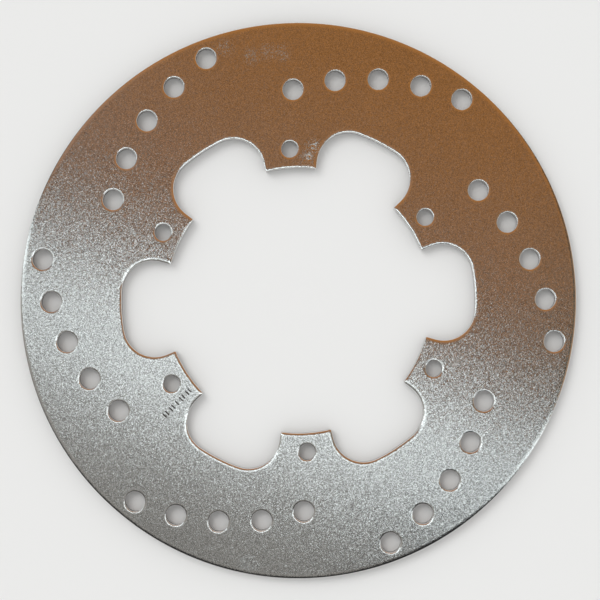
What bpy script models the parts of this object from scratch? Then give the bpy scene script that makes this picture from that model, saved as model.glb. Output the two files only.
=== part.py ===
"""A fixed brake disc for a small motorcycle: one flat plate of stainless steel.

Six tabs bolt to the wheel hub, six windows lie between the tabs, and a swept row of vent holes
starts beside each tab. The disc's axis is Z. Its hub side lies on the XY plane, facing down,
and its first bolt hole is on +X. All lengths are in metres.
"""

import cmath
import math

import bmesh
import bpy

# The plate.
OUTER_DIAMETER = 0.220
THICKNESS = 0.004
EDGE_BREAK = 0.00025  # the small chamfer along every edge

# The opening in the middle: tabs with radial sides, and windows with round corners.
TAB_COUNT = 6
BORE_DIAMETER = 0.105  # across the tips of the tabs
TAB_ANGLE = math.radians(22.0)
TAB_CORNER_RADIUS = 0.0005
WINDOW_DIAMETER = 0.140
WINDOW_CORNER_RADIUS = 0.01225

# A clearance hole for an M6 bolt in each tab.
BOLT_CIRCLE_DIAMETER = 0.120
BOLT_HOLE_DIAMETER = 0.0065

# A row of vent holes beside each tab, which turns clockwise as it runs outwards.
VENTS_IN_A_ROW = 5
VENT_DIAMETER = 0.008
FIRST_VENT_RADIUS = 0.0835
VENT_STEP_OUT = 0.00475
VENT_PITCH = 0.01707
FIRST_VENT_ANGLE = math.radians(-1.8)  # from the tab's middle

# How finely the round shapes are divided.
RIM_SEGMENTS = 144
HOLE_SEGMENTS = 20
BORE_ARC_SEGMENTS = 5
TAB_CORNER_SEGMENTS = 2
WINDOW_CORNER_SEGMENTS = 9
WINDOW_ARC_SEGMENTS = 3

WELD_DISTANCE = 0.000001
SHARP_ANGLE = math.radians(30.0)
SECTOR_ANGLE = math.tau / TAB_COUNT
QUARTER_TURN = math.pi / 2


def clear_scene():
    for existing in list(bpy.data.objects):
        bpy.data.objects.remove(existing, do_unlink=True)


def arc(centre, radius, start, end, segments):
    """Points of the XY plane along an arc, as complex numbers, with both of its ends."""
    turns = [start + (end - start) * i / segments for i in range(segments + 1)]
    return [centre + cmath.rect(radius, turn) for turn in turns]


def circle(centre, diameter, segments):
    return arc(centre, diameter / 2, 0.0, math.tau, segments)[:-1]


def half_sector_of_opening():
    """The opening's edge from the middle of a tab on +X to the middle of the next window."""
    bore_radius = BORE_DIAMETER / 2
    window_radius = WINDOW_DIAMETER / 2
    tab_side = TAB_ANGLE / 2

    # The tab's corner touches the bore and the tab's side from within the tab.
    tip_distance = bore_radius + TAB_CORNER_RADIUS
    tip_angle = tab_side - math.asin(TAB_CORNER_RADIUS / tip_distance)
    tip_centre = cmath.rect(tip_distance, tip_angle)

    # The window's corner touches the tab's side and the outer arc from within the window.
    corner_distance = window_radius - WINDOW_CORNER_RADIUS
    corner_angle = tab_side + math.asin(WINDOW_CORNER_RADIUS / corner_distance)
    corner_centre = cmath.rect(corner_distance, corner_angle)

    bore_arc = arc(0, bore_radius, 0.0, tip_angle, BORE_ARC_SEGMENTS)
    tab_corner = arc(
        tip_centre,
        TAB_CORNER_RADIUS,
        tip_angle + math.pi,
        tab_side + QUARTER_TURN,
        TAB_CORNER_SEGMENTS,
    )
    window_corner = arc(
        corner_centre,
        WINDOW_CORNER_RADIUS,
        tab_side - QUARTER_TURN,
        corner_angle,
        WINDOW_CORNER_SEGMENTS,
    )
    window_arc = arc(0, window_radius, corner_angle, SECTOR_ANGLE / 2, WINDOW_ARC_SEGMENTS)
    return bore_arc[:-1] + tab_corner + window_corner + window_arc[1:]


def opening():
    """The whole edge of the middle opening, one sector after another."""
    half = half_sector_of_opening()
    full_turn = cmath.rect(1.0, SECTOR_ANGLE)
    other_half = [point.conjugate() * full_turn for point in reversed(half)]
    sector = half + other_half[1:-1]
    return [
        point * cmath.rect(1.0, SECTOR_ANGLE * i) for i in range(TAB_COUNT) for point in sector
    ]


def bolt_hole_centres():
    return [cmath.rect(BOLT_CIRCLE_DIAMETER / 2, SECTOR_ANGLE * i) for i in range(TAB_COUNT)]


def vent_row(tab_middle):
    """The centres of one row: each further out by the same step, and one pitch from the last."""
    radius = FIRST_VENT_RADIUS
    angle = tab_middle + FIRST_VENT_ANGLE
    centres = [cmath.rect(radius, angle)]
    for _ in range(VENTS_IN_A_ROW - 1):
        next_radius = radius + VENT_STEP_OUT
        half_chord = math.sqrt(VENT_PITCH**2 - VENT_STEP_OUT**2) / 2
        angle -= 2 * math.asin(half_chord / math.sqrt(radius * next_radius))
        radius = next_radius
        centres.append(cmath.rect(radius, angle))
    return centres


def vent_hole_centres():
    return [centre for i in range(TAB_COUNT) for centre in vent_row(SECTOR_ANGLE * i)]


def add_outline(curve, points):
    """Adds one closed outline to the curve, with straight lines between its points."""
    spline = curve.splines.new("POLY")
    spline.points.add(len(points) - 1)
    for target, point in zip(spline.points, points):
        target.co = (point.real, point.imag, 0.0, 1.0)
    spline.use_cyclic_u = True


def plate_curve():
    """The plate as a flat curve: its rim, and inside it the opening and holes, the other way round."""
    curve = bpy.data.curves.new("plate outline", "CURVE")
    curve.dimensions = "2D"
    curve.fill_mode = "BOTH"
    curve.extrude = THICKNESS / 2 - EDGE_BREAK
    curve.bevel_depth = EDGE_BREAK
    curve.bevel_resolution = 0
    curve.offset = -EDGE_BREAK

    add_outline(curve, circle(0, OUTER_DIAMETER, RIM_SEGMENTS))
    add_outline(curve, opening()[::-1])
    for centre in bolt_hole_centres():
        add_outline(curve, circle(centre, BOLT_HOLE_DIAMETER, HOLE_SEGMENTS)[::-1])
    for centre in vent_hole_centres():
        add_outline(curve, circle(centre, VENT_DIAMETER, HOLE_SEGMENTS)[::-1])
    return curve


def closed_mesh(curve, name):
    """The curve's solid as a mesh, with its faces welded to its walls."""
    outline = bpy.data.objects.new("outline", curve)
    bpy.context.scene.collection.objects.link(outline)
    graph = bpy.context.evaluated_depsgraph_get()
    mesh = bpy.data.meshes.new_from_object(outline.evaluated_get(graph))
    mesh.name = name
    bpy.data.objects.remove(outline, do_unlink=True)
    bpy.data.curves.remove(curve)

    solid = bmesh.new()
    solid.from_mesh(mesh)
    bmesh.ops.remove_doubles(solid, verts=solid.verts, dist=WELD_DISTANCE)
    bmesh.ops.recalc_face_normals(solid, faces=solid.faces)
    solid.to_mesh(mesh)
    solid.free()
    mesh.shade_smooth()
    mesh.set_sharp_from_angle(angle=SHARP_ANGLE)
    return mesh


def ground_steel():
    material = bpy.data.materials.new("ground_steel")
    material.use_nodes = True
    shader = material.node_tree.nodes["Principled BSDF"]
    shader.inputs["Base Color"].default_value = (0.60, 0.57, 0.53, 1.0)
    shader.inputs["Roughness"].default_value = 0.42
    shader.inputs["Metallic"].default_value = 1.0
    return material


def make_brake_disc():
    collection = bpy.data.collections.new("Brake disc")
    bpy.context.scene.collection.children.link(collection)
    mesh = closed_mesh(plate_curve(), "brake_disc")
    mesh.materials.clear()
    mesh.materials.append(ground_steel())
    disc = bpy.data.objects.new("brake_disc", mesh)
    disc.location.z = THICKNESS / 2
    collection.objects.link(disc)


clear_scene()
make_brake_disc()
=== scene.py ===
"""Looks of the brake disc: a finely made plate, its ground steel, a pale floor and studio light.

Lengths are in metres. The disc's axis is Z, its front face looks up, and a bolt hole is on +X.
"""

import cmath
import math

import bmesh
import bpy
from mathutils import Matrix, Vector


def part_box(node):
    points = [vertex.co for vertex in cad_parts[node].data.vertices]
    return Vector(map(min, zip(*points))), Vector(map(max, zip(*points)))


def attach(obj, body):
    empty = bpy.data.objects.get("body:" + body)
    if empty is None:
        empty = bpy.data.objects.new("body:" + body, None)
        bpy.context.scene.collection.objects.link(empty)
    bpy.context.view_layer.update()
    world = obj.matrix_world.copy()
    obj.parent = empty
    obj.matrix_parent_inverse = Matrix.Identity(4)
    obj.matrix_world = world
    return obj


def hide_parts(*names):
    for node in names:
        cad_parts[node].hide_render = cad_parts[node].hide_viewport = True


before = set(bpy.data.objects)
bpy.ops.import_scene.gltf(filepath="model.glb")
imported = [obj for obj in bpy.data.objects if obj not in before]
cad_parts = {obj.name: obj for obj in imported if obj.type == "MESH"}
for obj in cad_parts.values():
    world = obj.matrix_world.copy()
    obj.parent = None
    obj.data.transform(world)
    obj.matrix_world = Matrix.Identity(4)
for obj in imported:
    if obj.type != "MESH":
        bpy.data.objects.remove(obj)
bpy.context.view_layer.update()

NODE = "brake_disc"
LOW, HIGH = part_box(NODE)
THICKNESS = HIGH.z - LOW.z
RIM_RADIUS = (HIGH.x - LOW.x) / 2

# The opening in the middle: tabs with radial sides, and windows with round corners.
TAB_COUNT = 6
BORE_RADIUS = 0.0525
TAB_ANGLE = math.radians(22.0)
TAB_CORNER_RADIUS = 0.0005
WINDOW_RADIUS = 0.070
WINDOW_CORNER_RADIUS = 0.01225

# The holes: one for a bolt in each tab, and a row of vents beside it that turns clockwise.
BOLT_CIRCLE_RADIUS = 0.060
BOLT_HOLE_RADIUS = 0.00325
VENTS_IN_A_ROW = 5
VENT_RADIUS = 0.004
FIRST_VENT_RADIUS = 0.0835
VENT_STEP_OUT = 0.00475
VENT_PITCH = 0.01707
FIRST_VENT_ANGLE = math.radians(-1.8)

# How finely the outlines are divided.
RIM_SEGMENTS = 720
HOLE_SEGMENTS = 56
BORE_ARC_SEGMENTS = 14
TAB_CORNER_SEGMENTS = 8
TAB_SIDE_SEGMENTS = 3
WINDOW_CORNER_SEGMENTS = 30
WINDOW_ARC_SEGMENTS = 10
CORNER_SEGMENTS = 5
SAG_SEGMENTS = 7
BACK_BREAK_SEGMENTS = 3
BAR_END_SEGMENTS = 6
FLOOR_SEGMENTS = 96

# The section of an edge. The press rolls the front edge over, cuts a smooth band below it and
# tears the rest, a little further into the steel. The back edge is only broken.
SMOOTH_BAND_SHARE = 0.42
TORN_RECESS = 0.00006
TEAR_STEP = 0.00018
TIP_SPREAD = 0.4
BACK_BREAK = 0.00018
SHARP_ANGLE = math.radians(40.0)

# What the zone attribute says: on the faces, at the top and foot of the smooth band, and below.
FACE_ZONE = 0.0
SMOOTH_ZONE = 1.0
BAND_FOOT_ZONE = 1.5
TORN_ZONE = 2.0

# (sag width, sag angle, corner radius) of a rolled front edge. The face sags towards the edge,
# down to this angle, and a corner turns the rest of the way.
RIM_ROLL = (0.0018, math.radians(15.0), 0.00025)
OPENING_ROLL = (0.0015, math.radians(22.0), 0.00026)
HOLE_ROLL = (0.0009, math.radians(21.0), 0.00022)

# Marks in the front face: a row of etched bars beside one bolt hole, two stamped rings by another.
BAR_GROUPS = (2, 2, 1, 2, 2)
BAR_PITCH = 0.0014
BAR_GROUP_GAP = BAR_PITCH / 2
BAR_LENGTH = 0.0022
BAR_WIDTH = 0.00056
BAR_ROW_START = -0.0691 - 0.0090j
BAR_ROW_TURN = math.radians(12.5)
ETCH_DEPTH = 0.00004
STAMP_CENTRES = (0.0382 + 0.0475j, 0.0344 + 0.0451j)
STAMP_RADIUS = 0.00095
STAMP_LINE = 0.0005
STAMP_DEPTH = 0.00008

# Where the front face is scuffed: a few spots near the rim, and around the stamped rings. A spot
# is full out to SCUFF_CORE of its radius and fades over the rest.
SCUFFS = (
    0.0305 + 0.0997j,
    0.0377 + 0.0911j,
    0.0439 + 0.0891j,
    0.0484 + 0.0852j,
    -0.0739 - 0.0765j,
) + STAMP_CENTRES
SCUFF_RADIUS = 0.0046
SCUFF_CORE = 0.3
SCUFF_TILT = 0.35
SCUFF_ROUGHNESS = 0.17

# The steel's grain: cells that each lean by chance, over a range this wide, and less where it is
# burnished.
GRAIN_SIZE = 0.00023
GRAIN_TILT = 0.155
BURNISHED_TILT = 0.062

# The height of the bumps on the faces, and how many times stronger they are on the walls.
BUMP_HEIGHT = 0.00001
WALL_RELIEF = 2.5

# Each kind of noise, and the part of its values that is stretched to the full range.
SPECKLE = {"size": 0.001, "detail": 1.0}
SPECKLE_RANGE = (0.35, 0.65)
SCRATCHES = {"size": 0.0006, "detail": 2.0}
SCRATCHES_RANGE = (0.40, 0.60)
CLOUDS = {"size": 0.03, "detail": 3.0, "roughness": 0.55}
CLOUDS_RANGE = (0.3, 0.7)
DRAG_LINES = {"size": 0.0009, "detail": 3.0, "scale": (1.0, 1.0, 0.06)}
DRAG_LINES_RANGE = (0.3, 0.7)
TEARS = {"size": 0.0007, "detail": 4.0, "roughness": 0.7}

# The steel's colours and how rough each part is. A pair is the least and the most.
GRAIN_COLORS = ((0.38, 0.375, 0.365, 1.0), (0.88, 0.875, 0.865, 1.0))
SMUDGE_COLOR = (0.80, 0.79, 0.77, 1.0)
BURNISHED_COLOR = (0.93, 0.92, 0.90, 1.0)
TORN_COLOR = (0.36, 0.35, 0.34, 1.0)
MARK_COLOR = (0.17, 0.165, 0.16, 1.0)
MOST_SMUDGE = 0.12
FACE_ROUGHNESS = (0.20, 0.26)
BURNISHED_ROUGHNESS = (0.10, 0.17)
TORN_ROUGHNESS = 0.55
MARK_ROUGHNESS = 0.6

FLOOR_COLOR = (0.82, 0.82, 0.81, 1.0)
FLOOR_ROUGHNESS = 0.9

# The view: straight down, turned so that a bolt hole lies up and to the right of the middle.
VIEW_TURN = math.radians(33.29)
VIEW_WIDTH = 0.2373
VIEW_OFFSET = (0.00066, 0.00025)
LENS = 90.0
SENSOR = 36.0
FARTHEST_SEEN = 20.0

FLOOR_RADIUS = 2.5
FLOOR_GAP = 0.0002

# Light panels above the disc, as (name, (bottom, top), (left, right), height, radiance), in the
# picture's directions before the whole set is turned. The flat face shows the panel above it,
# and its rolled edges show those further out. Panels that overlap add up.
PANEL_TURN = math.radians(-21.0)
PANELS = (
    ("warm_panel", (0.011, 0.11), (-0.35, 0.185), 0.30, (0.318, 0.150, 0.059)),
    ("far_warm_panel", (0.11, 0.56), (-0.35, 0.185), 0.30, (0.365, 0.146, 0.027)),
    ("bright_strip", (-0.085, -0.026), (-0.45, 0.45), 0.30, (1.17, 1.28, 1.31)),
    ("bright_core", (-0.085, -0.026), (-0.12, 0.12), 0.306, (0.40, 0.43, 0.44)),
    ("grey_panel", (-0.22, -0.092), (-0.45, 0.12), 0.30, (0.280, 0.271, 0.253)),
    ("side_warm_panel", (0.0, 0.50), (0.25, 0.80), 0.30, (0.32, 0.20, 0.11)),
    ("left_cool_panel", (0.02, 0.17), (-0.45, -0.14), 0.306, (0.002, 0.026, 0.040)),
    ("right_cool_panel", (0.0, 0.12), (0.145, 0.25), 0.306, (0.002, 0.024, 0.024)),
)

# The floor's own lights: a panel over all of it, and a key light that is far away, for an even
# floor, and wide, for a soft shadow.
FLOOR_FILL = ("floor_fill", (-2.6, 2.6), (-2.6, 2.6), 0.30, (0.62, 0.62, 0.62))
FLOOR_KEY_STRENGTH = 0.95
FLOOR_KEY_WIDTH = math.radians(35.0)
FLOOR_KEY_PLACE = (-0.6, 0.6, 1.0)

# The room behind the panels: pale at the horizon, and dark from this sine of elevation up.
WALL_TOP_SINE = 0.7
WALL_RADIANCE = 0.9
CEILING_RADIANCE = 0.02

SECTOR_ANGLE = math.tau / TAB_COUNT
QUARTER_TURN = math.pi / 2


# ---------------------------------------------------------------- outlines


def arc(centre, radius, start, end, segments):
    """Points of the XY plane along an arc, as complex numbers, with both of its ends."""
    turns = [start + (end - start) * i / segments for i in range(segments + 1)]
    return [centre + cmath.rect(radius, turn) for turn in turns]


def circle(centre, radius, segments):
    return arc(centre, radius, 0.0, math.tau, segments)[:-1]


def half_sector_of_opening(inset):
    """The opening's edge, moved into the plate by inset, from a tab's middle to a window's."""
    bore_radius = BORE_RADIUS + inset
    window_radius = WINDOW_RADIUS + inset
    tab_side = TAB_ANGLE / 2

    # The tab's corner is a little rounder the further in the line lies, as a rolled one is.
    tip_radius = TAB_CORNER_RADIUS + TIP_SPREAD * inset
    tip_distance = bore_radius + tip_radius
    tip_angle = tab_side - math.asin((inset + tip_radius) / tip_distance)
    tip_centre = cmath.rect(tip_distance, tip_angle)

    corner_distance = WINDOW_RADIUS - WINDOW_CORNER_RADIUS
    corner_angle = tab_side + math.asin(WINDOW_CORNER_RADIUS / corner_distance)
    corner_centre = cmath.rect(corner_distance, corner_angle)

    bore_arc = arc(0, bore_radius, 0.0, tip_angle, BORE_ARC_SEGMENTS)
    tab_corner = arc(
        tip_centre,
        tip_radius,
        tip_angle + math.pi,
        tab_side + QUARTER_TURN,
        TAB_CORNER_SEGMENTS,
    )
    window_corner = arc(
        corner_centre,
        WINDOW_CORNER_RADIUS + inset,
        tab_side - QUARTER_TURN,
        corner_angle,
        WINDOW_CORNER_SEGMENTS,
    )
    window_arc = arc(0, window_radius, corner_angle, SECTOR_ANGLE / 2, WINDOW_ARC_SEGMENTS)
    side = window_corner[0] - tab_corner[-1]
    side_points = [
        tab_corner[-1] + side * i / TAB_SIDE_SEGMENTS for i in range(1, TAB_SIDE_SEGMENTS)
    ]
    return bore_arc[:-1] + tab_corner + side_points + window_corner + window_arc[1:]


def opening(inset):
    half = half_sector_of_opening(inset)
    full_turn = cmath.rect(1.0, SECTOR_ANGLE)
    other_half = [point.conjugate() * full_turn for point in reversed(half)]
    sector = half + other_half[1:-1]
    return [
        point * cmath.rect(1.0, SECTOR_ANGLE * i) for i in range(TAB_COUNT) for point in sector
    ]


def rim(inset):
    return circle(0, RIM_RADIUS - inset, RIM_SEGMENTS)[::-1]


def hole(centre, radius):
    return lambda inset: circle(centre, radius + inset, HOLE_SEGMENTS)


def vent_row(tab_middle):
    """The centres of one row: each further out by the same step, and one pitch from the last."""
    radius = FIRST_VENT_RADIUS
    angle = tab_middle + FIRST_VENT_ANGLE
    centres = [cmath.rect(radius, angle)]
    for _ in range(VENTS_IN_A_ROW - 1):
        next_radius = radius + VENT_STEP_OUT
        half_chord = math.sqrt(VENT_PITCH**2 - VENT_STEP_OUT**2) / 2
        angle -= 2 * math.asin(half_chord / math.sqrt(radius * next_radius))
        radius = next_radius
        centres.append(cmath.rect(radius, angle))
    return centres


# ---------------------------------------------------------------- the plate


def edge_section(sag_width, sag_angle, corner_radius):
    """(inset, height, zone) up an edge, from the back face to the front one.

    Over the sag, which handling has burnished, the zone fades from the smooth one to the face's."""
    sag_depth = sag_width * math.tan(sag_angle) / 3
    corner_top = THICKNESS - sag_depth
    band_top = corner_top - corner_radius * math.cos(sag_angle)
    band_foot = band_top - SMOOTH_BAND_SHARE * THICKNESS
    section = []
    for i in range(BACK_BREAK_SEGMENTS + 1):
        turn = QUARTER_TURN * i / BACK_BREAK_SEGMENTS
        inset = TORN_RECESS + BACK_BREAK * (1 - math.sin(turn))
        zone = TORN_ZONE if i else FACE_ZONE
        section.append((inset, BACK_BREAK * (1 - math.cos(turn)), zone))
    section.append((TORN_RECESS, band_foot - TEAR_STEP, TORN_ZONE))
    section.append((0.0, band_foot, BAND_FOOT_ZONE))
    for i in range(CORNER_SEGMENTS + 1):
        turn = (QUARTER_TURN - sag_angle) * i / CORNER_SEGMENTS
        inset = corner_radius * (1 - math.cos(turn))
        section.append((inset, band_top + corner_radius * math.sin(turn), SMOOTH_ZONE))
    corner_inset = section[-1][0]
    for i in range(1, SAG_SEGMENTS + 1):
        left = 1 - i / SAG_SEGMENTS
        inset = corner_inset + sag_width * (1 - left)
        section.append((inset, THICKNESS - sag_depth * left**3, SMOOTH_ZONE * left))
    return section


class PlateMesh:
    """Collects the plate's edges, faces and marks in one mesh."""

    def __init__(self):
        self.mesh = bmesh.new()
        self.zone = self.mesh.verts.layers.float.new("zone")
        self.mark = self.mesh.verts.layers.float.new("mark")

    def ring(self, points, height, zone=FACE_ZONE, mark=0.0):
        made = []
        for point in points:
            vert = self.mesh.verts.new((point.real, point.imag, LOW.z + height))
            vert[self.zone] = zone
            vert[self.mark] = mark
            made.append(vert)
        return made

    def band(self, below, above):
        """Quads between two rings of the same length, facing the side where there is no steel."""
        count = len(below)
        for i in range(count):
            j = (i + 1) % count
            self.mesh.faces.new((below[j], below[i], above[i], above[j]))

    def edge(self, outline, section):
        """An edge all the way round one outline. Returns its back and front rings."""
        rings = [self.ring(outline(inset), height, zone) for inset, height, zone in section]
        for below, above in zip(rings, rings[1:]):
            self.band(below, above)
        return rings[0], rings[-1]

    def etched(self, outline, depth):
        """A shallow dark mark in the front face. Returns the ring where it meets the face."""
        top = self.ring(outline(0.0), THICKNESS)
        floor = self.ring(outline(-depth / 2), THICKNESS - depth, mark=1.0)
        self.band(floor, top)
        self.mesh.faces.new(floor)
        return top

    def stamped(self, outline, width, depth):
        """A rounded groove around an outline. Returns the rings where it meets the face."""
        rings = []
        for across in (1.0, 0.5, 0.0, -0.5, -1.0):
            height = THICKNESS - depth * (1 - across * across)
            zone = SMOOTH_ZONE * (1 - abs(across))
            rings.append(self.ring(outline(width / 2 * across), height, zone))
        for outer, inner in zip(rings, rings[1:]):
            self.band(inner, outer)
        return [rings[0], rings[-1]]

    def face(self, rings, upwards):
        """A flat face bounded by the rings, with a hole at every second ring inward."""
        edges = []
        for ring in rings:
            for i, vert in enumerate(ring):
                edges.append(self.mesh.edges.get((vert, ring[i - 1])))
        normal = (0.0, 0.0, 1.0 if upwards else -1.0)
        bmesh.ops.triangle_fill(self.mesh, edges=edges, use_beauty=True, normal=normal)


def bar(centre, length, width, turn):
    """The outline of a bar with round ends, which can be drawn larger or smaller."""

    def outline(inset):
        radius = width / 2 + inset
        reach = cmath.rect(length / 2 - width / 2, turn)
        first, middle, last = turn - QUARTER_TURN, turn + QUARTER_TURN, turn + 3 * QUARTER_TURN
        one_end = arc(centre + reach, radius, first, middle, BAR_END_SEGMENTS)
        other_end = arc(centre - reach, radius, middle, last, BAR_END_SEGMENTS)
        return one_end + other_end

    return outline


def bar_row():
    """The outlines of the etched bars, in groups with a gap after each."""
    step = cmath.rect(BAR_PITCH, BAR_ROW_TURN)
    centre = BAR_ROW_START
    for count in BAR_GROUPS:
        for _ in range(count):
            yield bar(centre, BAR_LENGTH, BAR_WIDTH, BAR_ROW_TURN + QUARTER_TURN)
            centre += step
        centre += cmath.rect(BAR_GROUP_GAP, BAR_ROW_TURN)


def make_plate():
    plate = PlateMesh()
    edges = [plate.edge(rim, edge_section(*RIM_ROLL))]
    edges.append(plate.edge(opening, edge_section(*OPENING_ROLL)))
    hole_section = edge_section(*HOLE_ROLL)
    for i in range(TAB_COUNT):
        tab_middle = SECTOR_ANGLE * i
        bolt_centre = cmath.rect(BOLT_CIRCLE_RADIUS, tab_middle)
        edges.append(plate.edge(hole(bolt_centre, BOLT_HOLE_RADIUS), hole_section))
        for centre in vent_row(tab_middle):
            edges.append(plate.edge(hole(centre, VENT_RADIUS), hole_section))
    back_rings = [back for back, _ in edges]
    front_rings = [front for _, front in edges]
    for outline in bar_row():
        front_rings.append(plate.etched(outline, ETCH_DEPTH))
    for centre in STAMP_CENTRES:
        front_rings += plate.stamped(hole(centre, STAMP_RADIUS), STAMP_LINE, STAMP_DEPTH)
    plate.face(back_rings, upwards=False)
    plate.face(front_rings, upwards=True)

    mesh = bpy.data.meshes.new("disc_plate")
    plate.mesh.to_mesh(mesh)
    plate.mesh.free()
    mesh.shade_smooth()
    mesh.set_sharp_from_angle(angle=SHARP_ANGLE)
    disc = bpy.data.objects.new("disc_plate", mesh)
    bpy.context.scene.collection.objects.link(disc)
    normals = disc.modifiers.new("flat faces first", "WEIGHTED_NORMAL")
    normals.keep_sharp = True
    normals.weight = 100
    return disc


# ---------------------------------------------------------------- materials


class Nodes:
    """A short way to add and join the nodes of one material."""

    def __init__(self, name):
        self.material = bpy.data.materials.new(name)
        self.material.use_nodes = True
        self.tree = self.material.node_tree
        self.shader = self.tree.nodes["Principled BSDF"]

    def add(self, kind, inputs=None, **settings):
        node = self.tree.nodes.new(kind)
        for name, value in settings.items():
            setattr(node, name, value)
        for key, value in (inputs or {}).items():
            self.feed(node.inputs[key], value)
        return node

    def feed(self, socket, value):
        if isinstance(value, bpy.types.NodeSocket):
            self.tree.links.new(value, socket)
        else:
            socket.default_value = value

    def attribute(self, name):
        return self.add("ShaderNodeAttribute", attribute_name=name).outputs["Fac"]

    def place(self, scale=(1.0, 1.0, 1.0)):
        """Where a point is on the object, in metres, stretched by scale."""
        where = self.add("ShaderNodeTexCoord").outputs["Object"]
        stretch = self.add("ShaderNodeMapping", {"Vector": where})
        stretch.inputs["Scale"].default_value = scale
        return stretch.outputs["Vector"]

    def noise(self, size, detail, roughness=0.5, scale=(1.0, 1.0, 1.0)):
        """Even noise between 0 and 1, with lumps about as large as size."""
        return self.add(
            "ShaderNodeTexNoise",
            {
                "Vector": self.place(scale),
                "Scale": 1.0 / size,
                "Detail": detail,
                "Roughness": roughness,
            },
        ).outputs["Fac"]

    def remap(self, value, low, high, to_low, to_high):
        return self.add(
            "ShaderNodeMapRange",
            {
                "Value": value,
                "From Min": low,
                "From Max": high,
                "To Min": to_low,
                "To Max": to_high,
            },
        ).outputs["Result"]

    def math(self, operation, first, second):
        return self.add(
            "ShaderNodeMath", {0: first, 1: second}, operation=operation
        ).outputs["Value"]

    def mix(self, share, first, second):
        node = self.add("ShaderNodeMix", data_type="RGBA")
        self.feed(node.inputs["Factor"], share)
        self.feed(node.inputs[6], first)
        self.feed(node.inputs[7], second)
        return node.outputs[2]

    def blend(self, share, first, second):
        node = self.add("ShaderNodeMix", data_type="FLOAT")
        self.feed(node.inputs["Factor"], share)
        self.feed(node.inputs[2], first)
        self.feed(node.inputs[3], second)
        return node.outputs[0]

    def bump(self, height, distance, normal):
        inputs = {"Height": height, "Distance": distance, "Normal": normal}
        return self.add("ShaderNodeBump", inputs).outputs["Normal"]

    def near(self, places, radius):
        """1 around these places of the front face, which fades to 0 at the radius."""
        share = 0.0
        for place in places:
            spot = (place.real, place.imag, HIGH.z)
            away = self.add(
                "ShaderNodeVectorMath", {0: self.place(), 1: spot}, operation="DISTANCE"
            ).outputs["Value"]
            spread = self.remap(away, radius * SCUFF_CORE, radius, 1.0, 0.0)
            share = self.math("MAXIMUM", share, spread)
        return share

    def facets(self, size, tilt):
        """A fine grain: the normal, tilted by chance in each cell, and a value for each cell."""
        cells = self.add(
            "ShaderNodeTexVoronoi", {"Vector": self.place(), "Scale": 1.0 / size}
        ).outputs["Color"]
        centred = self.add(
            "ShaderNodeVectorMath", {0: cells, 1: (0.5, 0.5, 0.5)}, operation="SUBTRACT"
        ).outputs["Vector"]
        normal = self.add("ShaderNodeNewGeometry").outputs["Normal"]
        scaled = self.add("ShaderNodeVectorMath", {0: centred}, operation="SCALE")
        self.feed(scaled.inputs["Scale"], tilt)
        tilted = self.add(
            "ShaderNodeVectorMath", {0: normal, 1: scaled.outputs["Vector"]}, operation="ADD"
        ).outputs["Vector"]
        facet = self.add(
            "ShaderNodeVectorMath", {0: tilted}, operation="NORMALIZE"
        ).outputs["Vector"]
        return facet, self.add("ShaderNodeSeparateXYZ", {0: cells}).outputs["Z"]


def ground_steel():
    """Stainless steel blasted to a fine grain, with burnished edges and darker marks."""
    steel = Nodes("ground_steel")
    zone = steel.attribute("zone")
    burnish = steel.remap(zone, FACE_ZONE, SMOOTH_ZONE, 0.0, 1.0)
    torn = steel.remap(zone, SMOOTH_ZONE, TORN_ZONE, 0.0, 1.0)
    mark = steel.attribute("mark")

    scratches = steel.remap(steel.noise(**SCRATCHES), *SCRATCHES_RANGE, 0.0, 1.0)
    scuff = steel.math("MULTIPLY", steel.near(SCUFFS, SCUFF_RADIUS), scratches)
    tilt = steel.blend(burnish, GRAIN_TILT, BURNISHED_TILT)
    tilt = steel.math("ADD", tilt, steel.math("MULTIPLY", scuff, SCUFF_TILT))
    facet, tone = steel.facets(GRAIN_SIZE, tilt)
    speckle = steel.noise(**SPECKLE)
    drag_lines = steel.noise(**DRAG_LINES)
    tears = steel.noise(**TEARS)

    color = steel.mix(tone, *GRAIN_COLORS)
    smudge = steel.remap(steel.noise(**CLOUDS), *CLOUDS_RANGE, 0.0, MOST_SMUDGE)
    color = steel.mix(smudge, color, SMUDGE_COLOR)
    color = steel.mix(burnish, color, BURNISHED_COLOR)
    color = steel.mix(torn, color, TORN_COLOR)
    color = steel.mix(mark, color, MARK_COLOR)
    steel.feed(steel.shader.inputs["Base Color"], color)

    rough = steel.remap(speckle, *SPECKLE_RANGE, *FACE_ROUGHNESS)
    rough = steel.math("ADD", rough, steel.math("MULTIPLY", scuff, SCUFF_ROUGHNESS))
    burnished_rough = steel.remap(drag_lines, *DRAG_LINES_RANGE, *BURNISHED_ROUGHNESS)
    rough = steel.blend(burnish, rough, burnished_rough)
    rough = steel.blend(torn, rough, TORN_ROUGHNESS)
    rough = steel.blend(mark, rough, MARK_ROUGHNESS)
    steel.feed(steel.shader.inputs["Roughness"], rough)
    steel.shader.inputs["Metallic"].default_value = 1.0

    wall_height = steel.math("MULTIPLY", steel.blend(torn, drag_lines, tears), WALL_RELIEF)
    height = steel.blend(burnish, speckle, wall_height)
    normal = steel.bump(height, BUMP_HEIGHT, facet)
    steel.feed(steel.shader.inputs["Normal"], normal)
    return steel.material


def pale_floor():
    floor = Nodes("pale_floor")
    floor.shader.inputs["Base Color"].default_value = FLOOR_COLOR
    floor.shader.inputs["Roughness"].default_value = FLOOR_ROUGHNESS
    return floor.material


# ---------------------------------------------------------------- the stage


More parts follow.
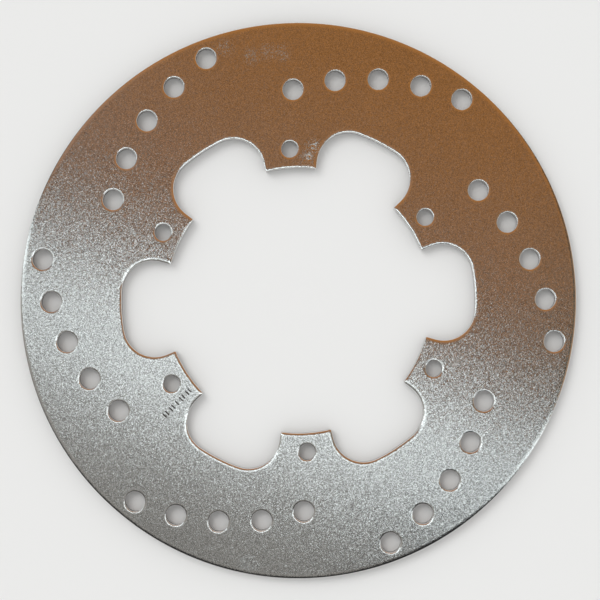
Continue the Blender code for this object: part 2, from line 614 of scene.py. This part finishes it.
def make_floor():
    mesh = bpy.data.meshes.new("floor")
    shape = bmesh.new()
    bmesh.ops.create_circle(shape, cap_ends=True, segments=FLOOR_SEGMENTS, radius=FLOOR_RADIUS)
    shape.to_mesh(mesh)
    shape.free()
    mesh.materials.append(pale_floor())
    floor = bpy.data.objects.new("floor", mesh)
    floor.location.z = LOW.z - FLOOR_GAP
    bpy.context.scene.collection.objects.link(floor)
    return floor


def view_point(right, up, height):
    """A place given as the camera sees it: to its right, up its picture, and above the disc."""
    flat = complex(right, up) * cmath.rect(1.0, -VIEW_TURN)
    return Vector((flat.real, flat.imag, HIGH.z + height))


def make_camera():
    data = bpy.data.cameras.new("camera")
    data.lens = LENS
    data.sensor_width = SENSOR
    data.clip_end = FARTHEST_SEEN
    camera = bpy.data.objects.new("camera", data)
    distance = VIEW_WIDTH * LENS / SENSOR
    camera.location = view_point(*VIEW_OFFSET, distance)
    camera.rotation_euler = (0.0, 0.0, -VIEW_TURN)
    bpy.context.scene.collection.objects.link(camera)
    bpy.context.scene.camera = camera


def make_panel(name, up_span, side_span, height, radiance):
    """A soft light panel that faces straight down, between these lines of the turned set."""
    data = bpy.data.lights.new(name, "AREA")
    data.shape = "RECTANGLE"
    data.size = side_span[1] - side_span[0]
    data.size_y = up_span[1] - up_span[0]
    strength = max(radiance)
    data.color = [channel / strength for channel in radiance]
    data.energy = strength * math.pi * data.size * data.size_y
    panel = bpy.data.objects.new(name, data)
    middle = complex(sum(side_span) / 2, sum(up_span) / 2) * cmath.rect(1.0, PANEL_TURN)
    panel.location = view_point(middle.real, middle.imag, height)
    panel.rotation_euler = (0.0, 0.0, PANEL_TURN - VIEW_TURN)
    panel.visible_camera = False
    bpy.context.scene.collection.objects.link(panel)
    return panel


def make_floor_key():
    """A soft key light that shines from the upper left of the picture."""
    data = bpy.data.lights.new("floor_key", "SUN")
    data.energy = FLOOR_KEY_STRENGTH
    data.angle = FLOOR_KEY_WIDTH
    key = bpy.data.objects.new("floor_key", data)
    key.location = view_point(*FLOOR_KEY_PLACE)
    key.rotation_euler = key.location.to_track_quat("Z", "Y").to_euler()
    bpy.context.scene.collection.objects.link(key)
    return key


def light_only(lights, target):
    """Keeps these lights' light for one object."""
    receivers = bpy.data.collections.new("lit_" + target.name)
    receivers.objects.link(target)
    for light in lights:
        light.light_linking.receiver_collection = receivers


def make_lights(disc, floor):
    light_only([make_panel(*panel) for panel in PANELS], disc)
    light_only([make_panel(*FLOOR_FILL), make_floor_key()], floor)


def make_world():
    world = bpy.data.worlds.new("studio")
    world.use_nodes = True
    tree = world.node_tree
    direction = tree.nodes.new("ShaderNodeTexCoord")
    split = tree.nodes.new("ShaderNodeSeparateXYZ")
    ramp = tree.nodes.new("ShaderNodeMapRange")
    tree.links.new(direction.outputs["Generated"], split.inputs["Vector"])
    tree.links.new(split.outputs["Z"], ramp.inputs["Value"])
    ramp.inputs["From Min"].default_value = 0.0
    ramp.inputs["From Max"].default_value = WALL_TOP_SINE
    ramp.inputs["To Min"].default_value = WALL_RADIANCE
    ramp.inputs["To Max"].default_value = CEILING_RADIANCE
    background = tree.nodes["Background"]
    background.inputs["Color"].default_value = (1.0, 1.0, 1.0, 1.0)
    tree.links.new(ramp.outputs["Result"], background.inputs["Strength"])
    bpy.context.scene.world = world
    bpy.context.scene.view_settings.view_transform = "Standard"


disc = make_plate()
disc.data.materials.append(ground_steel())
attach(disc, "root")
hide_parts(NODE)

floor = make_floor()
make_camera()
make_lights(disc, floor)
make_world()
